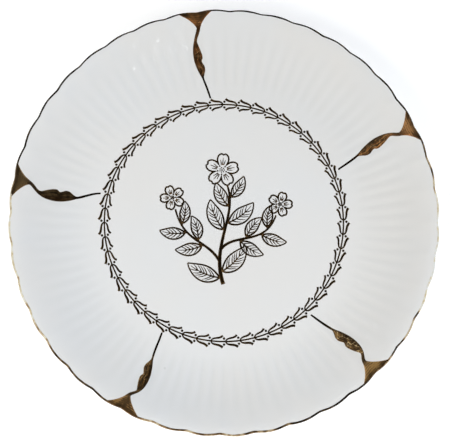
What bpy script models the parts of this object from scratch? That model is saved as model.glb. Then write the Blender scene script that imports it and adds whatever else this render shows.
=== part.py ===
"""A round porcelain salad plate: a flat well, a fluted wall, a scalloped rim and a foot ring.

Lengths are in metres and +Z is up. The origin is the middle of the foot ring's underside, and +Y
is the top of the picture painted in the well.
"""

import math

import bmesh
import bpy
from mathutils import Matrix, Vector
from mathutils.geometry import interpolate_bezier

MM = 0.001

# Driving dimensions
RIM_RADIUS = 103.0 * MM  # out to the crest of a scallop
RIM_RISE = 16.0 * MM  # top of the lip above the floor of the well
WELL_RADIUS = 62.0 * MM
FLOOR_THICKNESS = 3.2 * MM
LIP_THICKNESS = 2.0 * MM
FOOT_HEIGHT = 2.6 * MM
FOOT_INSET = 4.0 * MM  # from the edge of the well in to the foot ring
FOOT_ROOT_WIDTH = 4.4 * MM
FOOT_TREAD_WIDTH = 2.2 * MM
FOOT_FILLET = 0.9 * MM

# The wall's curve, as shares of the distance from the well to the lip, and its slope at the lip
CAVETTO_REACH = 0.52
RIM_REACH = 0.20
RIM_SLOPE = math.radians(12)

# Scallops of the edge
SCALLOP_COUNT = 40
FIRST_CUSP = math.radians(7.7)  # anticlockwise from +X
SCALLOP_DEPTH = 0.8 * MM
SCALLOP_DROP = 0.25 * MM  # crests lie this much lower than cusps
SCALLOP_BAND = 13.0 * MM  # from the rim in to where the scallops have died out
CUSP_ROUNDING = 0.15  # 0 is a sharp cusp

# Flutes pressed into the upper face of the wall
FLUTE_COUNT = 90
FLUTE_DEPTH = 0.3 * MM
FLUTE_START = 1.0 * MM  # outside the edge of the well
FLUTE_END = 6.0 * MM  # inside the rim
FLUTE_RUN_IN = 12.0 * MM
FLUTE_RUN_OUT = 16.0 * MM

# Facets
STEPS = 2 * FLUTE_COUNT  # every ridge and every groove has an edge of its own
WALL_BANDS_ABOVE = 7
WALL_BANDS_BELOW = 5
LIP_BANDS = 3
FINE_WEIGHT = 0.8  # rings that take more of the scallops than this get twice the facets
UPWARD = 0.5  # normals that rise more than this belong to the upper face
MERGE = 0.001 * MM
SHARP_EDGE = math.radians(35)

GLAZE_COLOUR = (0.86, 0.87, 0.88, 1.0)
GLAZE_ROUGHNESS = 0.12


def clear_scene():
    """Start from an empty scene."""
    for item in list(bpy.data.objects):
        bpy.data.objects.remove(item, do_unlink=True)


def make_collection(name):
    """Add a collection to the scene."""
    collection = bpy.data.collections.new(name)
    bpy.context.scene.collection.children.link(collection)
    return collection


def make_glaze():
    """White glazed porcelain."""
    material = bpy.data.materials.new("white glazed porcelain")
    material.use_nodes = True
    shader = material.node_tree.nodes["Principled BSDF"]
    shader.inputs["Base Color"].default_value = GLAZE_COLOUR
    shader.inputs["Roughness"].default_value = GLAZE_ROUGHNESS
    shader.inputs["Metallic"].default_value = 0.0
    return material


def smooth_step(value, low, high):
    """Rise smoothly from 0 at low to 1 at high."""
    share = min(max((value - low) / (high - low), 0.0), 1.0)
    return share * share * (3.0 - 2.0 * share)


def floor_height():
    """Height of the well's floor above the table."""
    return FOOT_HEIGHT + FLOOR_THICKNESS


def lip_middle():
    """Centre of the round that the lip's section follows."""
    half = LIP_THICKNESS / 2
    return Vector((RIM_RADIUS - half, 0, floor_height() + RIM_RISE - half))


def wall_line(bands):
    """Points up the wall's upper face, from the well to the lip, and the directions into the wall there."""
    outward = Vector((math.cos(RIM_SLOPE), 0, math.sin(RIM_SLOPE)))
    inward = Vector((math.sin(RIM_SLOPE), 0, -math.cos(RIM_SLOPE)))
    start = Vector((WELL_RADIUS, 0, floor_height()))
    end = lip_middle() - inward * LIP_THICKNESS / 2
    reach = end.x - start.x
    knee = start + Vector((CAVETTO_REACH * reach, 0, 0))
    shoulder = end - outward * RIM_REACH * reach
    points = interpolate_bezier(start, knee, shoulder, end, bands + 1)
    directions = [Vector((0, 0, -1))]
    for before, after in zip(points, points[2:]):
        along = (after - before).normalized()
        directions.append(Vector((along.z, 0, -along.x)))
    directions.append(inward)
    return points, directions


def lip_line():
    """Points round the lip, from its upper side over the edge to its lower side."""
    points = []
    for band in range(1, LIP_BANDS):
        turn = RIM_SLOPE + math.pi / 2 - math.pi * band / LIP_BANDS
        out = Vector((math.cos(turn), 0, math.sin(turn)))
        points.append(lip_middle() + out * LIP_THICKNESS / 2)
    return points


def underside_line():
    """Points down the wall's lower face, from the lip to the floor."""
    line = []
    for index, (point, direction) in enumerate(zip(*wall_line(WALL_BANDS_BELOW))):
        share = index / WALL_BANDS_BELOW
        thickness = FLOOR_THICKNESS + (LIP_THICKNESS - FLOOR_THICKNESS) * share
        line.append(point + direction * thickness)
    return reversed(line)


def foot_line():
    """Points round the foot ring, from its outer root over its tread to its inner root."""
    outside = WELL_RADIUS - FOOT_INSET
    inside = outside - FOOT_ROOT_WIDTH
    taper = (FOOT_ROOT_WIDTH - FOOT_TREAD_WIDTH) / 2
    fillet_taper = taper * FOOT_FILLET / FOOT_HEIGHT
    line = (
        (outside + FOOT_FILLET, FOOT_HEIGHT),
        (outside - fillet_taper, FOOT_HEIGHT - FOOT_FILLET),
        (outside - taper, 0),
        (inside + taper, 0),
        (inside + fillet_taper, FOOT_HEIGHT - FOOT_FILLET),
        (inside - FOOT_FILLET, FOOT_HEIGHT),
    )
    return [Vector((radius, 0, height)) for radius, height in line]


def plate_profile():
    """Half the plate's section, from the middle of the well out over the lip and back under it."""
    floor_centre = Vector((0, 0, floor_height()))
    recess_centre = Vector((0, 0, FOOT_HEIGHT))
    wall, _ = wall_line(WALL_BANDS_ABOVE)
    return [floor_centre, *wall, *lip_line(), *underside_line(), *foot_line(), recess_centre]


def turn_profile(profile):
    """Turn the section about Z with a Screw modifier and return the plain round mesh."""
    line = bpy.data.meshes.new("plate section")
    line.from_pydata(profile, [(i, i + 1) for i in range(len(profile) - 1)], [])
    blank = bpy.data.objects.new("plate section", line)
    bpy.context.scene.collection.objects.link(blank)
    screw = blank.modifiers.new("turn", "SCREW")
    screw.axis = "Z"
    screw.steps = STEPS
    screw.render_steps = STEPS
    screw.use_merge_vertices = True
    screw.merge_threshold = MERGE
    evaluated = blank.evaluated_get(bpy.context.evaluated_depsgraph_get())
    mesh = bpy.data.meshes.new_from_object(evaluated)
    bpy.data.objects.remove(blank)
    bpy.data.meshes.remove(line)
    return mesh


def scallop_weight(radius):
    """How much of the scallops' form a ring of this radius takes."""
    return smooth_step(radius, RIM_RADIUS - SCALLOP_BAND, RIM_RADIUS - LIP_THICKNESS)


def flute_weight(radius):
    """How much of the flutes' depth a ring of this radius takes."""
    start = WELL_RADIUS + FLUTE_START
    end = RIM_RADIUS - FLUTE_END
    run_in = smooth_step(radius, start, start + FLUTE_RUN_IN)
    run_out = smooth_step(radius, end - FLUTE_RUN_OUT, end)
    return run_in * (1.0 - run_out)


def scallop_wave(angle):
    """0 at a cusp of the edge and 1 at the crest between two cusps."""
    wave = math.sin(SCALLOP_COUNT / 2 * (angle - FIRST_CUSP))
    low = CUSP_ROUNDING
    high = math.hypot(1.0, CUSP_ROUNDING)
    return (math.hypot(wave, CUSP_ROUNDING) - low) / (high - low)


def flute_wave(angle):
    """0 on a ridge and 1 at the bottom of a groove."""
    return 0.5 - 0.5 * math.cos(FLUTE_COUNT * (angle - FIRST_CUSP))


def add_rim_facets(form):
    """Halve the facets that run round the rim, where the cusps need them."""
    around = []
    for edge in form.edges:
        start, end = edge.verts
        radius = start.co.xy.length
        level = abs(start.co.z - end.co.z) < MERGE
        if level and abs(radius - end.co.xy.length) < MERGE and scallop_weight(radius) > FINE_WEIGHT:
            around.append(edge)
    made = bmesh.ops.subdivide_edges(form, edges=around, cuts=1)
    half_step = math.pi / STEPS
    for item in made["geom_inner"]:
        if isinstance(item, bmesh.types.BMVert):
            item.co.xy /= math.cos(half_step)


def press_relief(form):
    """Press the flutes into the upper face and draw the scallops out of the rim."""
    form.normal_update()
    above = {vertex for vertex in form.verts if vertex.normal.z > UPWARD}
    for vertex in form.verts:
        radius = vertex.co.xy.length
        if radius < WELL_RADIUS:
            continue
        angle = math.atan2(vertex.co.y, vertex.co.x)
        crest = scallop_wave(angle)
        weight = scallop_weight(radius)
        vertex.co.xy *= 1.0 - SCALLOP_DEPTH * (1.0 - crest) * weight / radius
        vertex.co.z -= SCALLOP_DROP * crest * weight
        if vertex in above:
            vertex.co.z -= FLUTE_DEPTH * flute_wave(angle) * flute_weight(radius)


def build_plate(collection):
    """The whole plate, which is one piece of porcelain."""
    mesh = turn_profile(plate_profile())
    form = bmesh.new()
    form.from_mesh(mesh)
    bmesh.ops.remove_doubles(form, verts=form.verts, dist=MERGE)
    bmesh.ops.recalc_face_normals(form, faces=form.faces)
    cusp_turn = Matrix.Rotation(FIRST_CUSP, 3, "Z")
    bmesh.ops.rotate(form, verts=form.verts, cent=(0, 0, 0), matrix=cusp_turn)
    add_rim_facets(form)
    press_relief(form)
    bmesh.ops.triangulate(form, faces=form.faces)
    form.to_mesh(mesh)
    form.free()
    mesh.name = "plate"
    mesh.materials.clear()
    mesh.materials.append(make_glaze())
    mesh.shade_smooth()
    mesh.set_sharp_from_angle(angle=SHARP_EDGE)
    plate = bpy.data.objects.new("plate", mesh)
    collection.objects.link(plate)
    return plate


clear_scene()
build_plate(make_collection("salad plate"))
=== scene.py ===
import bisect
import math

import bmesh
import bpy
from mathutils import Matrix, Vector, noise
from mathutils.geometry import interpolate_bezier


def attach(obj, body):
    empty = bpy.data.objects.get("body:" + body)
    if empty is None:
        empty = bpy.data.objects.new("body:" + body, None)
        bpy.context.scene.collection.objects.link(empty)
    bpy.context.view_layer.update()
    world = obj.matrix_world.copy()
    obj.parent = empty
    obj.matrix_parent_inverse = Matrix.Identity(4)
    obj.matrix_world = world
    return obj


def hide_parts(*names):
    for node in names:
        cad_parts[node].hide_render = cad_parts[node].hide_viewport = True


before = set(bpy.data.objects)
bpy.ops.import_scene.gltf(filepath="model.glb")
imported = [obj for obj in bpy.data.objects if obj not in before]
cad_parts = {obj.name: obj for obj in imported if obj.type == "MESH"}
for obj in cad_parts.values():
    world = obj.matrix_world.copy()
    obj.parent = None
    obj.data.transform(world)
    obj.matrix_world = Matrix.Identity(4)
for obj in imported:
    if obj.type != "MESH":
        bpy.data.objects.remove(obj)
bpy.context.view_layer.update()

mm = 0.001
fullTurn = 2 * math.pi
weldDistance = 0.0005 * mm


# the plate's form, which the gilding follows too

plate = {
    "rimRadius": 102.88 * mm,  # out to the crest of a scallop, less the gold on it
    "rimRise": 15.9 * mm,  # top of the lip above the floor of the well, less the gold on it
    "wellRadius": 62.0 * mm,
    "wellBorder": 2.0 * mm,  # the last flat band inside the well's edge
    "floorThickness": 3.2 * mm,
    "lipThickness": 2.0 * mm,
    "footHeight": 2.6 * mm,
    "footInset": 4.0 * mm,  # from the edge of the well in to the foot ring
    "footRootWidth": 4.4 * mm,
    "footTreadWidth": 2.2 * mm,
    "footFillet": 0.9 * mm,
    "footSoftness": 0.35 * mm,  # of the tread's edges
    "footRoundness": 0.6,  # how far its curves are drawn into their corners
    "footCurvePoints": 6,
    "cavettoReach": 0.52,  # the wall's curve, as shares of the distance from the well to the lip
    "rimReach": 0.20,
    "rimSlope": math.radians(12),
    "scallopCount": 40,
    "firstCusp": math.radians(7.7),  # anticlockwise from +X
    "scallopDepth": 0.8 * mm,
    "scallopDrop": 0.25 * mm,  # crests lie this much lower than cusps
    "scallopBand": 13.0 * mm,  # from the rim in to where the scallops have died out
    "cuspRounding": 0.15,  # 0 is a sharp cusp
    "fluteCount": 90,
    "fluteDepth": 0.3 * mm,
    "fluteStart": 1.0 * mm,  # outside the edge of the well
    "fluteEnd": 6.0 * mm,  # inside the rim
    "fluteRunIn": 12.0 * mm,
    "fluteRunOut": 16.0 * mm,
    "upward": 0.3,  # normals that rise more than this belong to the upper face
    "steps": 720,  # facets once round
    "wallBands": 46,
    "lipBands": 14,
    "undersideBands": 22,
    "heightSamples": 600,  # points on the wall that the gilding is laid by
}
floorTop = plate["footHeight"] + plate["floorThickness"]
halfLip = plate["lipThickness"] / 2
lipMiddle = Vector((plate["rimRadius"] - halfLip, 0, floorTop + plate["rimRise"] - halfLip))


def smoothStep(value, low, high):
    share = min(max((value - low) / (high - low), 0.0), 1.0)
    return share * share * (3.0 - 2.0 * share)


def around(angle, radius=1.0):
    return Vector((math.cos(angle) * radius, math.sin(angle) * radius, 0))


def inSection(turn, radius=1.0):
    # a direction in the plate's section; 0 points outwards and a quarter turn points up
    return Vector((math.cos(turn) * radius, 0, math.sin(turn) * radius))


def wallLine(bands):
    # points up the wall's upper face, and the directions from them into the porcelain
    slope = plate["rimSlope"]
    inward = inSection(slope - math.pi / 2)
    start = Vector((plate["wellRadius"], 0, floorTop))
    end = lipMiddle - inward * halfLip
    reach = end.x - start.x
    knee = start + Vector((plate["cavettoReach"] * reach, 0, 0))
    shoulder = end - inSection(slope) * plate["rimReach"] * reach
    points = interpolate_bezier(start, knee, shoulder, end, bands + 1)
    directions = [Vector((0, 0, -1))]
    for before, after in zip(points, points[2:]):
        along = (after - before).normalized()
        directions.append(Vector((along.z, 0, -along.x)))
    directions.append(inward)
    return points, directions


wallSamples = wallLine(plate["heightSamples"])[0]
wallRadii = [point.x for point in wallSamples]


def glazeHeight(radius):
    # height of the upper face before the flutes and scallops are pressed
    if radius <= plate["wellRadius"]:
        return floorTop
    if radius >= wallRadii[-1]:
        out = min(radius - lipMiddle.x, halfLip)
        return lipMiddle.z + math.sqrt(halfLip * halfLip - out * out)
    index = bisect.bisect_right(wallRadii, radius)
    before, after = wallSamples[index - 1], wallSamples[index]
    return before.z + (after.z - before.z) * (radius - before.x) / (after.x - before.x)


def scallopWave(angle):
    # 0 at a cusp and 1 at a crest
    wave = math.sin(plate["scallopCount"] / 2 * (angle - plate["firstCusp"]))
    low = plate["cuspRounding"]
    high = math.hypot(1.0, low)
    return (math.hypot(wave, low) - low) / (high - low)


def scallopWeight(radius):
    # how much of the scallops a ring of this radius takes
    rim = plate["rimRadius"]
    return smoothStep(radius, rim - plate["scallopBand"], rim - plate["lipThickness"])


def fluteWave(angle):
    # 0 on a ridge and 1 in a groove
    return 0.5 - 0.5 * math.cos(plate["fluteCount"] * (angle - plate["firstCusp"]))


def fluteWeight(radius):
    # how much of the flutes' depth a ring of this radius takes
    start = plate["wellRadius"] + plate["fluteStart"]
    end = plate["rimRadius"] - plate["fluteEnd"]
    runIn = smoothStep(radius, start, start + plate["fluteRunIn"])
    return runIn * (1.0 - smoothStep(radius, end - plate["fluteRunOut"], end))


def pressed(point, onTop):
    # where a point of the plain round plate goes when scallops and flutes are pressed
    radius = point.xy.length
    if radius < plate["wellRadius"]:
        return point
    angle = math.atan2(point.y, point.x)
    crest = scallopWave(angle)
    weight = scallopWeight(radius)
    shrink = 1.0 - plate["scallopDepth"] * (1.0 - crest) * weight / radius
    height = point.z - plate["scallopDrop"] * crest * weight
    if onTop:
        height -= plate["fluteDepth"] * fluteWave(angle) * fluteWeight(radius)
    return Vector((point.x * shrink, point.y * shrink, height))


def onGlaze(point):
    # lays a flat drawing's point on the upper face; its z is its height above the glaze
    return pressed(Vector((point.x, point.y, glazeHeight(point.xy.length) + point.z)), True)


class Signal:
    # one socket of a node tree; arithmetic on it adds Math nodes
    def __init__(self, tree, socket=None):
        self.tree = tree
        self.socket = socket

    def node(self, kind, settings=(), inputs=(), output=0):
        made = self.tree.nodes.new("ShaderNode" + kind)
        for name, value in dict(settings).items():
            if name == "stops":
                for index, (place, colour) in enumerate(value):
                    elements = made.color_ramp.elements
                    stop = elements[index] if index < 2 else elements.new(place)
                    stop.position = place
                    stop.color = colour
            else:
                setattr(made, name, value)
        for name, value in dict(inputs).items():
            if isinstance(value, Signal):
                self.tree.links.new(value.socket, made.inputs[name])
            else:
                made.inputs[name].default_value = value
        return Signal(self.tree, made.outputs[output])

    def math(self, operation, *values):
        return self.node("Math", {"operation": operation}, enumerate(values))

    def __add__(self, other):
        return self.math("ADD", self, other)

    def __sub__(self, other):
        return self.math("SUBTRACT", self, other)

    def __rsub__(self, other):
        return self.math("SUBTRACT", other, self)

    def __mul__(self, other):
        return self.math("MULTIPLY", self, other)

    __radd__ = __add__
    __rmul__ = __mul__

    def axis(self, number):
        # one part of a vector: 0 is x, 1 is y and 2 is z
        return self.node("SeparateXYZ", {}, {"Vector": self}, output=number)

    def between(self, low, high):
        # 0 below low and 1 above high, smooth in between
        inputs = {"Value": self, "From Min": low, "From Max": high}
        return self.node("MapRange", {"interpolation_type": "SMOOTHSTEP"}, inputs)

    def clouds(self, place, scale, detail=3.0):
        return self.node("TexNoise", {}, {"Vector": place, "Scale": scale, "Detail": detail})

    def blend(self, share, first, second):
        mixed = {"data_type": "RGBA", "blend_type": "MIX"}
        return self.node("Mix", mixed, {0: share, 6: first, 7: second}, output=2)

    def bump(self, strength, height):
        return self.node("Bump", {}, {"Strength": strength, "Distance": 1.0, "Height": height})


def colour(red, green, blue):
    return (red, green, blue, 1.0)


pureWhite = colour(1.0, 1.0, 1.0)


def startMaterial(name):
    material = bpy.data.materials.new(name)
    material.use_nodes = True
    tree = material.node_tree
    shader = tree.nodes["Principled BSDF"]
    pen = Signal(tree)
    place = pen.node("TexCoord", output=3)
    return material, shader, pen, place


def plug(shader, values):
    # sets the shader's sockets, or links them where the value is a signal
    for name, value in values.items():
        if isinstance(value, Signal):
            shader.id_data.links.new(value.socket, shader.inputs[name])
        else:
            shader.inputs[name].default_value = value


def bearingOf(pen, place):
    # 0 to 1 once round the plate, anticlockwise from +X
    return pen.math("ARCTAN2", place.axis(1) * -1.0, place.axis(0) * -1.0) * (1 / fullTurn) + 0.5


def byBearing(pen, turn, stops):
    # a value or a colour that changes round the plate; stops are (bearing in degrees, value or colour)
    ramp = []
    for bearing, value in stops:
        shade = value if isinstance(value, tuple) else colour(value, value, value)
        ramp.append((bearing / 360, shade))
    return pen.node("ValToRGB", {"stops": ramp}, {"Fac": turn})


camera = {
    "unit": 102.7 * mm,  # the plate's mean radius
    "distance": 4.926,  # in units, from the middle of the well
    "tilt": math.radians(7.81),  # off straight above
    "bearing": math.radians(-9.3),
    "lens": 82.37,
    "shift": (0.0018, -0.0040),
    "clip": (10 * mm, 30.0),
}


def makeCamera():
    tilt, bearing = camera["tilt"], camera["bearing"]
    across = around(bearing)
    away = around(bearing + math.pi / 2)
    up = Vector((0, 0, 1))
    rise = away * math.cos(tilt) + up * math.sin(tilt)
    right = across * math.cos(bearing) - rise * math.sin(bearing)
    top = across * math.sin(bearing) + rise * math.cos(bearing)
    back = up * math.cos(tilt) - away * math.sin(tilt)
    middle = Vector((0, 0, floorTop))
    place = middle + back * camera["distance"] * camera["unit"]
    lens = bpy.data.cameras.new("camera")
    lens.lens = camera["lens"]
    lens.shift_x, lens.shift_y = camera["shift"]
    lens.clip_start, lens.clip_end = camera["clip"]
    seen = bpy.data.objects.new("camera", lens)
    turned = Matrix((right, top, back)).transposed()
    seen.matrix_world = Matrix.Translation(place) @ turned.to_4x4()
    bpy.context.scene.collection.objects.link(seen)
    bpy.context.scene.camera = seen
    bpy.context.scene.view_settings.view_transform = "Standard"
    print("camera ready")


studio = {
    "floorSize": 6.0,
    "floorColours": (colour(0.93, 0.93, 0.93), colour(0.95, 0.95, 0.95)),
    "floorMottle": 3.0,
    "floorRoughness": 0.9,
    "floorGlow": 0.20,
    "farGlow": colour(3.4, 3.4, 3.4),  # makes the far floor as bright as the backdrop
    "farFrom": (0.3, 1.6),  # distances between which it sets in
    "backdrop": 0.93,
    "fill": 0.08,  # even light from all round
    # soft boxes that aren't mirrored: degrees from straight above, bearing, strength, tint
    "softBoxes": (
        (50, 210, 6.15, (1.03, 1.0, 0.95)),
        (50, 270, 3.20, (1.0, 1.0, 1.0)),
        (50, 330, 3.70, (0.96, 0.995, 1.04)),
        (66, 45, 5.20, (0.94, 0.99, 1.07)),
        (66, 110, 3.10, (1.01, 1.0, 0.98)),
    ),
    "boxDistance": 1.0,
    "boxSize": (0.8, 0.8),
    # small lamps that only show as glints: degrees from straight above, bearing, strength
    "glints": ((43.5, 295, 0.032), (46, 197, 0.010), (56, 127, 0.015)),
    "glintSize": (0.06, 0.025),
    # what the gold mirrors: the dark above the camera, the dim room and the pale walls low down
    "overhead": 0.009,
    "roomEdges": (0.80, 0.955),
    "roomGlow": 0.045,
    "roomLeft": 0.19,
    "leftEdges": (-0.75, 0.35),
    "roomNear": 0.11,
    "nearEdges": (-0.8, 0.1),
    "nearTint": colour(1.15, 0.86, 0.60),
    "wallEdges": (0.10, 0.30),
    "wallGlow": 0.75,
}


def addLamp(name, polar, bearing, size, strength, tint, mirrored):
    # a lamp that faces the plate; it lights the scene, or is only mirrored in it
    lamp = bpy.data.lights.new(name, "AREA")
    lamp.shape = "ELLIPSE"
    lamp.size, lamp.size_y = size
    lamp.energy = strength
    lamp.color = tint
    holder = bpy.data.objects.new(name, lamp)
    place = inSection(math.radians(90 - polar), studio["boxDistance"])
    place.rotate(Matrix.Rotation(math.radians(bearing), 3, "Z"))
    holder.matrix_world = Matrix.Translation(place) @ place.to_track_quat("Z", "Y").to_matrix().to_4x4()
    holder.visible_camera = False
    holder.visible_glossy = mirrored
    holder.visible_diffuse = not mirrored
    bpy.context.scene.collection.objects.link(holder)


def makeSurroundings():
    # what the camera, the mirroring surfaces and the rest see beyond the floor
    world = bpy.data.worlds.new("studio")
    world.use_nodes = True
    bpy.context.scene.world = world
    tree = world.node_tree
    pen = Signal(tree)
    direction = pen.node("TexCoord")
    up = direction.axis(2)
    room = 1.0 - up.between(*studio["roomEdges"])
    leftward = 1.0 - direction.axis(0).between(*studio["leftEdges"])
    nearer = 1.0 - direction.axis(1).between(*studio["nearEdges"])
    roomGlow = leftward * studio["roomLeft"] + nearer * studio["roomNear"] + studio["roomGlow"]
    walls = 1.0 - up.between(*studio["wallEdges"])
    mirrored = room * roomGlow + walls * studio["wallGlow"] + studio["overhead"]
    isMirror = pen.node("LightPath", output="Is Glossy Ray")
    isView = pen.node("LightPath", output="Is Camera Ray")
    others = (1.0 - isMirror - isView) * studio["fill"]
    strength = isMirror * mirrored + isView * studio["backdrop"] + others
    tint = pen.blend(isMirror * nearer * room, pureWhite, studio["nearTint"])
    light = tree.nodes["Background"]
    tree.links.new(tint.socket, light.inputs["Color"])
    tree.links.new(strength.socket, light.inputs["Strength"])


def makeLamps():
    for number, (polar, bearing, strength, tint) in enumerate(studio["softBoxes"]):
        addLamp(f"softBox{number + 1}", polar, bearing, studio["boxSize"], strength, tint, False)
    for number, (polar, bearing, strength) in enumerate(studio["glints"]):
        addLamp(f"glint{number + 1}", polar, bearing, studio["glintSize"], strength, (1, 1, 1), True)


def makeFloor():
    form = bmesh.new()
    bmesh.ops.create_grid(form, x_segments=1, y_segments=1, size=studio["floorSize"])
    mesh = bpy.data.meshes.new("floor")
    form.to_mesh(mesh)
    form.free()
    floor = bpy.data.objects.new("floor", mesh)
    bpy.context.scene.collection.objects.link(floor)
    material, shader, pen, place = startMaterial("pale floor")
    mottle = pen.clouds(place, studio["floorMottle"])
    distance = pen.node("VectorMath", {"operation": "LENGTH"}, {0: place}, output=1)
    plug(shader, {
        "Base Color": pen.blend(mottle, *studio["floorColours"]),
        "Roughness": studio["floorRoughness"],
        "Emission Color": pen.blend(distance.between(*studio["farFrom"]), pureWhite, studio["farGlow"]),
        "Emission Strength": studio["floorGlow"],
    })
    mesh.materials.append(material)


def makeStudio():
    makeSurroundings()
    makeLamps()
    makeFloor()
    print("studio ready")


def finishPiece(name, form, material):
    bmesh.ops.remove_doubles(form, verts=form.verts, dist=weldDistance)
    bmesh.ops.recalc_face_normals(form, faces=form.faces)
    mesh = bpy.data.meshes.new(name)
    form.to_mesh(mesh)
    form.free()
    mesh.shade_smooth()
    mesh.materials.append(material)
    piece = bpy.data.objects.new(name, mesh)
    bpy.context.scene.collection.objects.link(piece)
    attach(piece, "root")
    print(name, len(mesh.polygons), "faces")
    return piece


def spunSection(profile, closed):
    # a section in the plane of X and Z, turned once round the plate's axis
    form = bmesh.new()
    line = [form.verts.new(point) for point in profile]
    following = line[1:] + line[:1] if closed else line[1:]
    edges = [form.edges.new(pair) for pair in zip(line, following)]
    bmesh.ops.spin(
        form, geom=line + edges, cent=(0, 0, 0), axis=(0, 0, 1), angle=fullTurn,
        steps=plate["steps"], use_merge=True, use_duplicate=False,
    )
    bmesh.ops.remove_doubles(form, verts=form.verts, dist=weldDistance)
    return form


glaze = {
    "white": colour(0.715, 0.725, 0.728),
    "warmWhite": colour(0.722, 0.722, 0.712),
    "driftScale": 22.0,
    "driftRange": (0.35, 0.65),
    "roughness": 0.07,
    "driftRoughness": 0.05,
    # painted shade: a darker colour for the bottoms of the flutes' grooves
    "paintedGrooveShade": colour(0.58, 0.60, 0.59),
    "grooveShadeStrength": 0.15,  # how much of that colour shows at the bottom of a groove
    "grooveShadeRunOut": 0.7,  # of the flutes' own
    "upperFace": (0.0, 0.3),  # rise of the normals between which the painted groove shade sets in
    "bare": colour(0.62, 0.60, 0.56),  # the unglazed tread
    "bareBelow": (0.25 * mm, 0.45 * mm),
    "bareRoughness": 0.55,
    "speck": colour(0.45, 0.47, 0.42),
    "speckStrength": 0.30,
    "speckScale": 38.0,
    "speckSizes": (0.014, 0.034),
    "speckPick": (0.62, 0.68),  # leaves most of the cells without a speck
    "rippleScale": 75.0,
    "rippleHeight": 0.10 * mm,
    "peelScale": 620.0,
    "peelHeight": 0.006 * mm,
    "bump": 0.5,
}


def grooveShadeShare(pen, place):
    # painted shade: the grooves of the upper face are coloured a little darker
    across, up = place.axis(0), place.axis(1)
    radius = pen.math("SQRT", across * across + up * up)
    start = plate["wellRadius"] + plate["fluteStart"]
    end = plate["rimRadius"] - plate["fluteEnd"]
    runOut = glaze["grooveShadeRunOut"] * plate["fluteRunOut"]
    grooved = radius.between(start, start + plate["fluteRunIn"]) * (1.0 - radius.between(end - runOut, end))
    turn = bearingOf(pen, place) * fullTurn - plate["firstCusp"]
    ridge = pen.math("COSINE", turn * plate["fluteCount"])
    rise = pen.node("TexCoord", output=1).axis(2)
    return (0.5 - ridge * 0.5) * grooved * rise.between(*glaze["upperFace"]) * glaze["grooveShadeStrength"]


def speckShare(pen, place):
    cells = {"Vector": place, "Scale": glaze["speckScale"]}
    distance = pen.node("TexVoronoi", {}, cells, output=0)
    pick = pen.node("TexVoronoi", {}, cells, output=1).axis(0)
    specks = (1.0 - distance.between(*glaze["speckSizes"])) * pick.between(*glaze["speckPick"])
    return specks * glaze["speckStrength"]


def makeGlaze():
    material, shader, pen, place = startMaterial("white glaze")
    drift = pen.clouds(place, glaze["driftScale"])
    white = pen.blend(drift.between(*glaze["driftRange"]), glaze["white"], glaze["warmWhite"])
    white = pen.blend(grooveShadeShare(pen, place), white, glaze["paintedGrooveShade"])
    white = pen.blend(speckShare(pen, place), white, glaze["speck"])
    bare = 1.0 - place.axis(2).between(*glaze["bareBelow"])
    ripple = pen.clouds(place, glaze["rippleScale"], 1.0)
    peel = pen.clouds(place, glaze["peelScale"], 2.0)
    roughness = bare * glaze["bareRoughness"] + drift * glaze["driftRoughness"] + glaze["roughness"]
    plug(shader, {
        "Base Color": pen.blend(bare, white, glaze["bare"]),
        "Roughness": roughness,
        "Normal": pen.bump(glaze["bump"], ripple * glaze["rippleHeight"] + peel * glaze["peelHeight"]),
    })
    return material


def footSide(root, tread, outward):
    # one side of the foot ring from its root down to the tread, with a fillet and a soft edge
    fillet, height, soft = plate["footFillet"], plate["footHeight"], plate["footSoftness"]
    slant = (tread - root) / height

    def rounded(start, corner, end):
        first = start.lerp(corner, plate["footRoundness"])
        second = end.lerp(corner, plate["footRoundness"])
        return interpolate_bezier(start, first, second, end, plate["footCurvePoints"])

    upper = Vector((root + outward * fillet, 0, height))
    lower = Vector((root + slant * fillet, 0, height - fillet))
    edgeTop = Vector((tread - slant * soft, 0, soft))
    edgeEnd = Vector((tread - outward * soft, 0, 0))
    fillets = rounded(upper, Vector((root, 0, height)), lower)
    softEdge = rounded(edgeTop, Vector((tread, 0, 0)), edgeEnd)
    return [*fillets, *softEdge]


def plateProfile():
    # half the plate's section, from the middle of the well out over the lip and back under it
    profile = [Vector((0, 0, floorTop)), Vector((plate["wellRadius"] - plate["wellBorder"], 0, floorTop))]
    profile.extend(wallLine(plate["wallBands"])[0])
    for band in range(1, plate["lipBands"]):
        turn = plate["rimSlope"] + math.pi / 2 - math.pi * band / plate["lipBands"]
        profile.append(lipMiddle + inSection(turn, halfLip))
    underside = []
    for index, (point, direction) in enumerate(zip(*wallLine(plate["undersideBands"]))):
        share = index / plate["undersideBands"]
        thickness = plate["floorThickness"] + (plate["lipThickness"] - plate["floorThickness"]) * share
        underside.append(point + direction * thickness)
    profile.extend(reversed(underside))
    outside = plate["wellRadius"] - plate["footInset"]
    inside = outside - plate["footRootWidth"]
    taper = (plate["footRootWidth"] - plate["footTreadWidth"]) / 2
    profile.extend(footSide(outside, outside - taper, 1))
    profile.extend(reversed(footSide(inside, inside + taper, -1)))
    profile.append(Vector((0, 0, plate["footHeight"])))
    return profile


def makePlate():
    form = spunSection(plateProfile(), False)
    bmesh.ops.recalc_face_normals(form, faces=form.faces)
    form.normal_update()
    topSide = {vertex for vertex in form.verts if vertex.normal.z > plate["upward"]}
    for vertex in form.verts:
        vertex.co = pressed(vertex.co, vertex in topSide)
    body = finishPiece("plateBody", form, makeGlaze())
    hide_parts("plate")


# fine painted lines: brown where the gold is thin

gilding = {
    "dark": colour(0.20, 0.13, 0.065),
    "light": colour(0.44, 0.28, 0.12),
    "thinScale": 260.0,
    "thinRange": (0.35, 0.70),
    "roughness": 0.22,
    "grainScale": 1500.0,
    "grainRoughness": 0.2,
    "grainHeight": 0.01 * mm,
    "bump": 0.4,
}


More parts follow.
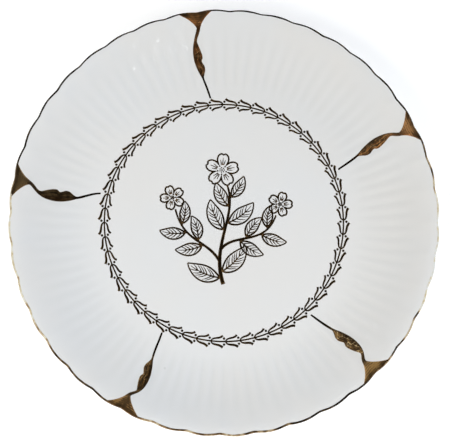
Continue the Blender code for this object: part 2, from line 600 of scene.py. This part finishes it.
def makeLineGold():
    material, shader, pen, place = startMaterial("line gold")
    goldMottle = pen.clouds(place, gilding["thinScale"]).between(*gilding["thinRange"])
    grain = pen.clouds(place, gilding["grainScale"], 2.0)
    plug(shader, {
        "Base Color": pen.blend(goldMottle, gilding["dark"], gilding["light"]),
        "Metallic": 1.0,
        "Roughness": grain * gilding["grainRoughness"] + gilding["roughness"],
        "Normal": pen.bump(gilding["bump"], grain * gilding["grainHeight"]),
    })
    return material


edgeGold = {
    "width": 1.05 * mm,  # seen from above
    "under": math.radians(48),  # how far it wraps below the lip
    "thickness": 0.03 * mm,
    "sunk": 0.12 * mm,
    "bands": 14,
    "waver": 0.12,
    "waverScales": (14.0, 45.0),
    # (bearing in degrees, painted light and shade): the dark and pale round the rim are painted reflection; 0
    # is as pale as the glaze, a half is gold and 1 is dark brown
    "paintedLightAndWear": (
        (0, 0.10), (8, 0.22), (11, 0.58), (21, 0.66), (30, 1.0), (164, 1.0), (173, 0.42), (180, 0.24),
        (208, 0.28), (212, 0.55), (215, 0.30), (218, 0.80), (238, 0.80), (246, 0.52), (283, 0.55), (284, 1.0),
        (287, 0.60), (291, 0.95), (310, 1.0), (318, 0.46), (322, 0.80), (325, 0.75), (327, 0.28), (331, 0.34),
        (333, 0.80), (335, 0.15), (342, 0.06), (355, 0.06),
    ),
    "patches": (150.0, (0.38, 0.62), 0.26),  # scale, range and strength of the wear in between
    "spots": (420.0, (0.40, 0.60), 0.20),
    "shades": (
        (0.0, colour(0.68, 0.69, 0.66)), (0.25, colour(0.62, 0.55, 0.38)), (0.48, colour(0.42, 0.29, 0.15)),
        (0.74, colour(0.14, 0.09, 0.045)), (0.95, colour(0.035, 0.026, 0.018)),
    ),
    "metalFrom": (0.22, 0.68),  # values of painted light and wear between which the pale glaze colour turns to metal
    "roughness": 0.15,
    "paintedLightAndWearRoughness": 0.15,
    "grainScale": 1500.0,
    "grainRoughness": 0.15,
    "grainHeight": 0.012 * mm,
    "bump": 0.5,
}


def makeEdgeMaterial():
    material, shader, pen, place = startMaterial("edge gold")
    # painted reflection: the rim line is darker or paler by bearing, with random wear patches and spots on
    # top
    paintedLightAndWear = byBearing(pen, bearingOf(pen, place), edgeGold["paintedLightAndWear"])
    for scale, (low, high), strength in (edgeGold["patches"], edgeGold["spots"]):
        paintedLightAndWear = paintedLightAndWear + (pen.clouds(place, scale, 2.0).between(low, high) - 0.5) * strength
    grain = pen.clouds(place, edgeGold["grainScale"], 2.0)
    roughness = grain * edgeGold["grainRoughness"] + paintedLightAndWear * edgeGold["paintedLightAndWearRoughness"]
    plug(shader, {
        "Base Color": pen.node("ValToRGB", {"stops": edgeGold["shades"]}, {"Fac": paintedLightAndWear}),
        "Metallic": paintedLightAndWear.between(*edgeGold["metalFrom"]),
        "Roughness": roughness + edgeGold["roughness"],
        "Normal": pen.bump(edgeGold["bump"], grain * edgeGold["grainHeight"]),
    })
    return material


def makeEdgeLine():
    top = math.acos(1 - edgeGold["width"] / halfLip)
    bands = edgeGold["bands"]
    outer = []
    inner = []
    for band in range(bands + 1):
        turn = top + (-edgeGold["under"] - top) * band / bands
        # the gold thins out towards both of its sides
        fade = min(1.0, 4 * math.sin(math.pi * (band + 0.4) / (bands + 0.8)))
        outer.append(lipMiddle + inSection(turn, halfLip + edgeGold["thickness"] * fade))
        inner.append(lipMiddle + inSection(turn, halfLip - edgeGold["sunk"]))
    form = spunSection(outer + inner[::-1], True)
    coarse, fine = edgeGold["waverScales"]
    for vertex in form.verts:
        angle = math.atan2(vertex.co.y, vertex.co.x)
        section = Vector((vertex.co.xy.length - lipMiddle.x, 0, vertex.co.z - lipMiddle.z))
        turn = math.atan2(section.z, section.x)
        waver = noise.noise(around(angle, coarse)) + 0.5 * noise.noise(around(angle, fine))
        turn *= 1 + edgeGold["waver"] * waver
        place = lipMiddle + inSection(turn, section.length)
        vertex.co = pressed(around(angle, place.x) + Vector((0, 0, place.z)), False)
    finishPiece("edgeLine", form, makeEdgeMaterial())


# the five gilt seams; shares are of the mean radius unless a note says otherwise

seams = {
    "count": 5,
    "firstAngle": math.radians(25.7),
    # each side is drawn as (share, degrees from the cusp), from the rim inwards
    "leftSide": (
        (1.003, 5.60), (0.990, 4.72), (0.970, 3.02), (0.950, 1.58), (0.930, 0.70), (0.918, 0.84),
        (0.900, 1.50), (0.880, 2.20), (0.850, 2.90), (0.815, 3.22), (0.780, 3.00), (0.745, 2.28),
        (0.722, 1.56), (0.712, 1.28), (0.690, 0.88), (0.650, 0.11), (0.606, -0.76),
    ),
    "rightSide": (
        (1.003, -4.80), (0.990, -3.95), (0.970, -2.42), (0.950, -1.28), (0.930, -0.58), (0.918, -0.30),
        (0.902, 0.26), (0.886, 0.95), (0.872, 1.15), (0.845, 0.48), (0.822, -0.04), (0.805, -0.16),
        (0.791, 0.30), (0.780, 0.00), (0.765, -0.52), (0.748, -0.52), (0.733, -0.04), (0.721, 0.36),
        (0.710, 0.44), (0.690, 0.02), (0.650, -0.77), (0.606, -1.56),
    ),
    "sideSteps": 9,
    "rows": 150,
    "columns": 14,
    "lipShare": 0.75,  # how far over the lip's round a seam goes
    "leafFrom": (0.94, 0.86),
    "leafUntil": (0.60, 0.71),
    "leanFrom": (0.74, 0.61),
    # one of each for every seam: degrees that its inner end and its leaf lie aside, its leaf's shift
    "leans": (0.1, -0.3, -1.25, 0.45, 0.0),
    "bows": (-0.2, -0.3, 0.85, 0.05, 0.1),
    "shifts": (0.007, -0.006, 0.0, 0.022, 0.015),
    "swells": (1.05, 0.93, 1.20, 0.92, 1.06),  # of the leaf's width
    "edgeLift": 0.035 * mm,
    "sunk": 0.10 * mm,
    "crown": 0.07,  # share of the width that the middle stands proud
    "crownLimit": 0.30 * mm,
    "crownWidths": (0.9 * mm, 2.6 * mm),  # widths between which the crown sets in
    "crownInside": (1.0, 0.96),
    "hammer": 0.045 * mm,
    "hammerScale": 620.0,
    "hammerWidth": 2 * mm,  # a narrower seam is hammered less
}


def throughPoints(points, steps):
    # a smooth line through given points
    points = [Vector((x, y, 0)) for x, y in points]
    slopes = [(after - before) / 2 for before, after in zip(points[:1] + points, points[1:] + points[-1:])]
    line = []
    for index in range(len(points) - 1):
        start, end = points[index], points[index + 1]
        leaving, arriving = start + slopes[index] / 3, end - slopes[index + 1] / 3
        line += interpolate_bezier(start, leaving, arriving, end, steps)[:-1]
    return line + points[-1:]


def sideAngle(line, share):
    # the drawn side's angle at this share of the radius; the line runs inwards
    for before, after in zip(line, line[1:]):
        if after.x <= share <= before.x:
            part = (before.x - share) / max(before.x - after.x, 1e-9)
            return math.radians(before.y + (after.y - before.y) * part)
    return math.radians(line[-1].y if share < line[-1].x else line[0].y)


# hammered gold: streaks and curls on the leaf with painted highlight lines, fine lines along the rim, and
# dark stems

seamGold = {
    # (bearing in degrees, hue, how matt the gold is, or how strong its painted highlight lines are) at every
    # seam; the differences between the seams are painted light and shade
    "huesWithPaintedLight": (
        (26, colour(0.70, 0.36, 0.14)), (98, colour(0.54, 0.25, 0.085)), (170, colour(0.42, 0.28, 0.13)),
        (242, colour(0.56, 0.31, 0.11)), (314, colour(0.60, 0.35, 0.12)),
    ),
    "matt": ((26, 0.95), (98, 0.65), (170, 0.34), (242, 0.95), (314, 0.85)),
    "paintedHighlightStrength": ((26, 0.25), (98, 0.35), (170, 0.0), (242, 0.2), (314, 0.85)),
    # painted shade: the dark end of the seams' mottle, standing in for the dark that hammered gold mirrors
    "goldMottle": colour(0.15, 0.09, 0.045),
    "dark": colour(0.11, 0.072, 0.036),
    "paintedHighlight": colour(0.90, 0.68, 0.36),
    # shares of a seam's length: where the leaf begins and ends, and where the triangle at the rim ends
    "leafEnds": (0.20, 0.30, 0.69, 0.75),
    "wedgeEnds": (0.15, 0.20),
    "streakScales": (8.0, 7.0, 1.0),  # across, along
    "curlScale": 420.0,
    "blotchScale": 160.0,
    "grainScale": 1400.0,
    "foldScale": 230.0,
    "foldDistortion": 0.9,
    "paintedHighlightRange": (0.005, 0.045),
    "rulingScale": 13.0,
    "rulingDistortion": 2.0,
    "leafMix": (0.40, 0.60),  # curls, streaks
    "leafRange": (0.45, 0.59),
    "wedgeMix": (0.7, 0.3, 0.10),  # blotches, streaks, ruling
    "wedgeRange": (0.38, 0.62),
    "wedgeHue": 0.25,
    "paintedHighlightShare": 0.8,
    # how dark the leaf's left side, the stems and the rim's side of the triangle are
    "leafSide": (0.62, 0.94),
    "leafSideDark": 0.75,
    "stemDark": 0.85,
    "rimSide": (0.0, 0.07),
    "rimDark": 0.62,
    "wedgeMatt": (0.18, 0.22),  # in the painted shade of the mottle, and what the light gold adds
    "leafMatt": 0.24,
    "paintedHighlightMatt": 0.45,
    "roughness": 0.04,
    "curlRoughness": 0.10,
    "curlHeight": 0.24 * mm,
    "streakHeight": 0.26 * mm,
    "grainHeight": 0.02 * mm,
    "bump": 0.55,
}


def makeSeamMaterial():
    material, shader, pen, place = startMaterial("seam gold")
    turn = bearingOf(pen, place)
    # painted light and shade: each seam's hue, mattness and highlight lines change with its bearing
    hueWithPaintedLight = byBearing(pen, turn, seamGold["huesWithPaintedLight"])
    matt = byBearing(pen, turn, seamGold["matt"])
    paintedHighlightStrength = byBearing(pen, turn, seamGold["paintedHighlightStrength"])
    mapping = pen.node("UVMap")
    side, along = mapping.axis(0), mapping.axis(1)
    start, full, fading, end = seamGold["leafEnds"]
    leaf = along.between(start, full) * (1.0 - along.between(fading, end))
    wedge = 1.0 - along.between(*seamGold["wedgeEnds"])
    stem = 1.0 - leaf - wedge

    streakPlace = pen.node("VectorMath", {"operation": "MULTIPLY"}, {0: mapping, 1: seamGold["streakScales"]})
    streaks = pen.clouds(streakPlace, 1.0)
    curls = pen.clouds(place, seamGold["curlScale"], 4.0)
    blotches = pen.clouds(place, seamGold["blotchScale"], 2.0)
    grain = pen.clouds(place, seamGold["grainScale"], 2.0)
    folding = {"Scale": seamGold["foldScale"], "Detail": 1.0, "Distortion": seamGold["foldDistortion"]}
    folds = pen.node("TexNoise", {}, {"Vector": place, **folding})
    # painted highlight: thin bright curly lines drawn into the leaf's colour, standing in for glints on
    # hammered gold
    paintedHighlightLines = (1.0 - pen.math("ABSOLUTE", folds - 0.5).between(*seamGold["paintedHighlightRange"])) * leaf * paintedHighlightStrength
    waves = {"Scale": seamGold["rulingScale"], "Distortion": seamGold["rulingDistortion"]}
    ruling = pen.node("TexWave", {"bands_direction": "Y"}, {"Vector": mapping, **waves}, output=1)

    curlWeight, streakWeight = seamGold["leafMix"]
    onLeaf = (curls * curlWeight + streaks * streakWeight).between(*seamGold["leafRange"])
    blotchWeight, streakWeight, rulingWeight = seamGold["wedgeMix"]
    onWedge = blotches * blotchWeight + streaks * streakWeight + (ruling - 0.5) * rulingWeight
    light = onLeaf * (1.0 - wedge) + onWedge.between(*seamGold["wedgeRange"]) * wedge

    leafSide = leaf * side.between(*seamGold["leafSide"]) * seamGold["leafSideDark"]
    rimSide = (1.0 - along.between(*seamGold["rimSide"])) * seamGold["rimDark"]
    darkened = leafSide + stem * seamGold["stemDark"] + rimSide
    # the mottle runs from the painted shade to the hue
    gold = pen.blend(light, seamGold["goldMottle"], hueWithPaintedLight)
    gold = pen.blend(wedge * seamGold["wedgeHue"], gold, hueWithPaintedLight)
    gold = pen.blend(paintedHighlightLines * seamGold["paintedHighlightShare"], gold, seamGold["paintedHighlight"])
    gold = pen.blend(darkened, gold, seamGold["dark"])

    shadeMatt, lightMatt = seamGold["wedgeMatt"]
    mattShare = wedge * (light * lightMatt + shadeMatt) + leaf * light * seamGold["leafMatt"]
    mattShare = mattShare + paintedHighlightLines * seamGold["paintedHighlightMatt"]
    relief = curls * seamGold["curlHeight"] + streaks * seamGold["streakHeight"]
    plug(shader, {
        "Base Color": gold,
        "Metallic": 1.0 - mattShare * matt * (1.0 - darkened),
        "Roughness": curls * seamGold["curlRoughness"] + seamGold["roughness"],
        "Normal": pen.bump(seamGold["bump"], relief + grain * seamGold["grainHeight"]),
    })
    return material


def seamPoint(sides, number, across, along, isUnder):
    # a flat point of one seam; its z is its height above the glaze
    left, right = sides
    outer, inner = seams["leftSide"][0][0], seams["leftSide"][-1][0]
    share = outer + (inner - outer) * along
    inLeaf = smoothStep(share, *seams["leafFrom"]) * smoothStep(share, *seams["leafUntil"])
    drawn = share - seams["shifts"][number] * inLeaf
    low, high = sideAngle(right, drawn), sideAngle(left, drawn)
    low -= (high - low) * (seams["swells"][number] - 1.0) * inLeaf
    lean = math.radians(seams["leans"][number]) * smoothStep(share, *seams["leanFrom"])
    bow = math.radians(seams["bows"][number]) * inLeaf
    middle = seams["firstAngle"] + fullTurn * number / seams["count"]
    angle = middle + low + (high - low) * across + lean + bow
    radius = min(share * camera["unit"], lipMiddle.x + seams["lipShare"] * halfLip)
    if isUnder:
        return around(angle, radius) + Vector((0, 0, -seams["sunk"]))
    width = (high - low) * radius
    bulge = 1.0 - (2.0 * across - 1.0) ** 4
    crown = min(seams["crown"] * width, seams["crownLimit"]) * smoothStep(share, *seams["crownInside"])
    crown *= smoothStep(width, *seams["crownWidths"])
    dents = noise.noise(around(angle, radius) * seams["hammerScale"]) * min(1.0, width / seams["hammerWidth"])
    lift = seams["edgeLift"] + bulge * (crown + seams["hammer"] * dents)
    return around(angle, radius) + Vector((0, 0, lift))


def makeSeams():
    sides = [throughPoints(seams[side], seams["sideSteps"]) for side in ("leftSide", "rightSide")]
    form = bmesh.new()
    mapping = form.loops.layers.uv.new("across and along")
    for number in range(seams["count"]):
        sheet = bmesh.ops.create_grid(form, x_segments=seams["columns"], y_segments=seams["rows"], size=0.5)
        faces = list({face for vertex in sheet["verts"] for face in vertex.link_faces})
        for face in faces:
            for corner in face.loops:
                corner[mapping].uv = corner.vert.co.xy + Vector((0.5, 0.5))
        extruded = bmesh.ops.extrude_face_region(form, geom=faces)["geom"]
        underPoints = {item for item in extruded if isinstance(item, bmesh.types.BMVert)}
        for vertex in [*sheet["verts"], *underPoints]:
            across, along = vertex.co.x + 0.5, vertex.co.y + 0.5
            vertex.co = seamPoint(sides, number, across, along, vertex in underPoints)
    for vertex in form.verts:
        vertex.co = onGlaze(vertex.co)
    finishPiece("giltSeams", form, makeSeamMaterial())


# every drawn stroke is a flattened bead of gold, half of it in the glaze

bead = {
    "flatten": 0.05,  # height of a stroke as a share of its width
    "lift": 0.008 * mm,
    "dotSides": 10,
    "dotHeight": 0.018 * mm,
    "dotFoot": 0.56,  # radius of a dot at its foot and at its top, as shares of its width
    "dotTop": 0.44,
}


class Drawing:
    def __init__(self):
        self.strokes = []
        self.dots = []

    def stroke(self, points, widths, closed=False):
        # widths are at the start, in the middle and at the end, in millimetres
        start, half, end = widths
        sized = []
        for index, point in enumerate(points):
            share = index / max(len(points) - 1, 1)
            if share < 0.5:
                width = start + (half - start) * share * 2
            else:
                width = half + (end - half) * (share * 2 - 1)
            sized.append((point, width * mm))
        self.strokes.append((sized, closed))

    def dot(self, point, width):
        self.dots.append((Vector(point), width * mm))

    def beads(self, name):
        # the strokes as one mesh of round beads
        curve = bpy.data.curves.new(name, "CURVE")
        curve.dimensions = "3D"
        curve.fill_mode = "FULL"
        curve.bevel_depth = 1.0
        curve.bevel_resolution = 1
        curve.use_fill_caps = True
        curve.twist_mode = "Z_UP"
        for sized, closed in self.strokes:
            spline = curve.splines.new("POLY")
            spline.points.add(len(sized) - 1)
            spline.use_cyclic_u = closed
            for knot, (point, width) in zip(spline.points, sized):
                knot.co = (point.x, point.y, 0.0, 1.0)
                knot.radius = width / 2
        lines = bpy.data.objects.new(name, curve)
        bpy.context.scene.collection.objects.link(lines)
        mesh = bpy.data.meshes.new_from_object(lines.evaluated_get(bpy.context.evaluated_depsgraph_get()))
        bpy.data.objects.remove(lines)
        bpy.data.curves.remove(curve)
        return mesh

    def finish(self, name, material):
        mesh = self.beads(name)
        form = bmesh.new()
        form.from_mesh(mesh)
        bpy.data.meshes.remove(mesh)
        bmesh.ops.scale(form, vec=(1, 1, bead["flatten"]), verts=form.verts)
        for point, width in self.dots:
            bmesh.ops.create_cone(
                form, cap_ends=True, segments=bead["dotSides"],
                radius1=width * bead["dotFoot"], radius2=width * bead["dotTop"],
                depth=bead["dotHeight"] * 2, matrix=Matrix.Translation((point.x, point.y, 0)),
            )
        for vertex in form.verts:
            vertex.co.z += bead["lift"]
            vertex.co = onGlaze(vertex.co)
        finishPiece(name, form, material)


husks = {
    "count": 52,
    "firstAngle": math.radians(0.33),
    "stemRadius": 58.75 * mm,
    "stemWidth": 0.78,  # widths are in millimetres
    "stemSteps": 6,  # for each husk
    # one side of a husk, in millimetres along the stem and away from it
    "side": (
        (0.15, 0.0), (0.55, 0.62), (1.1, 1.12), (1.9, 1.42), (2.9, 1.62), (3.9, 1.75), (4.7, 2.0),
        (5.4, 2.38), (6.0, 2.95),
    ),
    "sideSteps": 3,
    "outerWidths": (0.62, 1.08, 1.26),
    "innerWidths": (0.60, 0.94, 1.06),
    "dots": (6.6, 1.45, 1.22),  # along the stem, away from it, width
}


def makeHusks(material):
    ring = Drawing()
    stem = husks["stemRadius"]
    steps = husks["count"] * husks["stemSteps"]
    circle = [around(fullTurn * step / steps, stem) for step in range(steps)]
    ring.stroke(circle, (husks["stemWidth"],) * 3, closed=True)
    line = [point.xy for point in throughPoints(husks["side"], husks["sideSteps"])]
    dotAlong, dotAway, dotWidth = husks["dots"]
    for number in range(husks["count"]):
        start = husks["firstAngle"] + fullTurn * number / husks["count"]
        for side, widths in ((1, husks["outerWidths"]), (-1, husks["innerWidths"])):
            points = [around(start + along * mm / stem, stem + side * away * mm) for along, away in line]
            ring.stroke(points, widths)
            ring.dot(around(start + dotAlong * mm / stem, stem + side * dotAway * mm), dotWidth)
    ring.finish("huskRing", material)


# the sprig in the well, in millimetres from the plate's middle

sprig = {
    # a leaf is (place along the stem, side, length, degrees from the stem); a flower is (radius, degrees)
    "stems": (
        {
            "line": ((-0.5, -31), (-7, -12), (7, 3), (1.5, 18)),
            "widths": (2.1, 1.5, 1.0),
            "leaves": (
                (0.05, 1, 17, 58), (0.09, -1, 17, 58), (0.50, 1, 16, 44), (0.58, -1, 16, 44),
                (0.74, 1, 13, 40), (0.84, -1, 12, 40),
            ),
            "flower": (8.4, 12),
        },
        {
            "line": ((-2.2, -20.0), (-8, -9), (-20, -11), (-24, 6)),
            "widths": (1.5, 1.2, 0.9),
            "leaves": ((0.34, 1, 13, 50), (0.46, -1, 12, 46), (0.68, 1, 12.5, 48), (0.80, -1, 11, 44)),
            "flower": (6.2, 40),
        },
        {
            "line": ((-2.1, -14.5), (4, -5), (20, -13), (25.5, 3)),
            "widths": (1.5, 1.2, 0.9),
            "leaves": ((0.36, -1, 13, 50), (0.46, 1, 12, 46), (0.68, -1, 12.5, 48), (0.80, 1, 11, 44)),
            "flower": (6.2, 0),
        },
    ),
    "stemPoints": 41,
    "outlineWidth": 0.86,
    "veinWidth": 0.52,
    "stalkLength": 1.2,
    "stalkWidths": (1.0, 0.9, 0.85),
    "leafTurn": 0.12,  # radians that a leaf bends back from its stalk
    "leafBend": 0.10,  # shares of a leaf's length
    "leafHalfWidth": 0.225,
    "veinSpacing": 3.0,
    "fewestVeins": 4,
    "flowerSeat": 0.95,  # share of a flower's radius from its stem's end to its middle
}

leafForm = {
    "ribPoints": 25,
    "ribKnots": (0.35, 0.7),
    "belly": (0.82, 0.9),  # powers that put a leaf's widest place nearer its base and blunt its ends
    "outline": (1.1, 1.0, 0.8),  # shares of the outline's width, from base to tip
    "rib": (1.0, 0.7, 0.35),
    "ribStops": 3,  # points before the tip
    "firstVein": 3,  # in points along the rib
    "veinSpan": 14,
    "veinSlant": 5,
    "veinReach": 0.80,
    "veinBow": 0.10,
    "veinPoints": 6,
}


def drawLeaf(drawing, base, tip, bend, halfWidth, veins):
    along = tip - base
    swing = Vector((-along.y, along.x, 0)).normalized() * bend
    first, second = leafForm["ribKnots"]
    rib = interpolate_bezier(
        base, base + along * first + swing, base + along * second + swing, tip, leafForm["ribPoints"]
    )
    last = len(rib) - 1
    widest, blunt = leafForm["belly"]
    sides = []
    for side in (1, -1):
        line = []
        for index, point in enumerate(rib):
            share = min(index / last, 0.9999)
            forward = (rib[min(index + 1, last)] - rib[max(index - 1, 0)]).normalized()
            out = Vector((-forward.y, forward.x, 0)) * side
            line.append(point + out * halfWidth * math.sin(math.pi * share ** widest) ** blunt)
        drawing.stroke(line, [sprig["outlineWidth"] * part for part in leafForm["outline"]])
        sides.append(line)
    drawing.stroke(rib[:-leafForm["ribStops"]], [sprig["outlineWidth"] * part for part in leafForm["rib"]])
    veinWidths = (sprig["veinWidth"], sprig["veinWidth"], sprig["veinWidth"] * 0.5)
    for line in sides:
        for vein in range(veins):
            start = leafForm["firstVein"] + round(vein * leafForm["veinSpan"] / veins)
            end = start + leafForm["veinSlant"]
            reach = rib[end].lerp(line[end], leafForm["veinReach"])
            swell = (line[start + 2] - rib[start + 2]) * leafForm["veinBow"]
            bow = rib[start].lerp(reach, 0.5) + swell
            points = interpolate_bezier(rib[start], bow, bow, reach, leafForm["veinPoints"])
            drawing.stroke(points, veinWidths)


flowerForm = {
    "petals": 5,
    "petalPoints": 24,
    "fullness": 0.5,  # the power that rounds a petal
    "waist": 0.30,  # the outline's and the lines' inner ends; lengths are shares of the flower's radius
    "notchDepth": 0.09,
    "notchWidth": 5.0,  # degrees
    # (radians off a petal's middle, how far out the line goes)
    "lines": ((-0.24, 0.62), (0.0, 0.74), (0.24, 0.62)),
    "lineSpread": 0.8,
    "lineWidths": (0.60, 0.48, 0.30),
    "betweenPetals": (0.26, 0.8),  # a dot's distance from the middle and its width
    "stamens": (7, 0.13, 0.7),  # their number, distance and width
    "heart": 0.9,
}


def drawFlower(drawing, middle, radius, turn):
    petals = flowerForm["petals"]
    halfPetal = 180 / petals
    waist = flowerForm["waist"]
    outline = []
    steps = petals * flowerForm["petalPoints"]
    for step in range(steps):
        angle = fullTurn * step / steps
        swell = abs(math.cos(petals / 2 * angle)) ** flowerForm["fullness"]
        fromMiddle = (math.degrees(angle) + halfPetal) % (2 * halfPetal) - halfPetal
        notch = flowerForm["notchDepth"] * math.exp(-(fromMiddle / flowerForm["notchWidth"]) ** 2)
        outline.append(middle + around(angle + turn, radius * (waist + (1 - waist) * swell - notch)))
    drawing.stroke(outline, (sprig["outlineWidth"],) * 3, closed=True)
    dotDistance, dotWidth = flowerForm["betweenPetals"]
    for petal in range(petals):
        heading = turn + fullTurn * petal / petals
        for offset, reach in flowerForm["lines"]:
            start = middle + around(heading + offset * flowerForm["lineSpread"], radius * waist)
            end = middle + around(heading + offset, radius * reach)
            drawing.stroke([start, start.lerp(end, 0.5), end], flowerForm["lineWidths"])
        drawing.dot(middle + around(heading + math.pi / petals, radius * dotDistance), dotWidth)
    count, distance, width = flowerForm["stamens"]
    for stamen in range(count):
        drawing.dot(middle + around(fullTurn * stamen / count, radius * distance), width)
    drawing.dot(middle, flowerForm["heart"])


def makeSprig(material):
    drawing = Drawing()
    for stem in sprig["stems"]:
        knots = [Vector((x, y, 0)) * mm for x, y in stem["line"]]
        line = interpolate_bezier(*knots, sprig["stemPoints"])
        drawing.stroke(line, stem["widths"])
        for share, side, length, spread in stem["leaves"]:
            index = round(share * (sprig["stemPoints"] - 1))
            forward = (line[index + 1] - line[max(index - 1, 0)]).normalized()
            heading = math.atan2(forward.y, forward.x) + side * math.radians(spread)
            base = line[index]
            start = base + around(heading, sprig["stalkLength"] * mm)
            tip = start + around(heading - side * sprig["leafTurn"], length * mm)
            drawing.stroke([base, base.lerp(start, 0.5), start], sprig["stalkWidths"])
            bend = side * sprig["leafBend"] * length * mm
            veins = max(sprig["fewestVeins"], round(length / sprig["veinSpacing"]))
            drawLeaf(drawing, start, tip, bend, length * sprig["leafHalfWidth"] * mm, veins)
        radius, turn = stem["flower"]
        forward = (line[-1] - line[-2]).normalized()
        middle = line[-1] + forward * radius * mm * sprig["flowerSeat"]
        drawFlower(drawing, middle, radius * mm, math.radians(turn))
    drawing.finish("sprig", material)


makeCamera()
makeStudio()
makePlate()
lineGold = makeLineGold()
makeEdgeLine()
makeSeams()
makeHusks(lineGold)
makeSprig(lineGold)
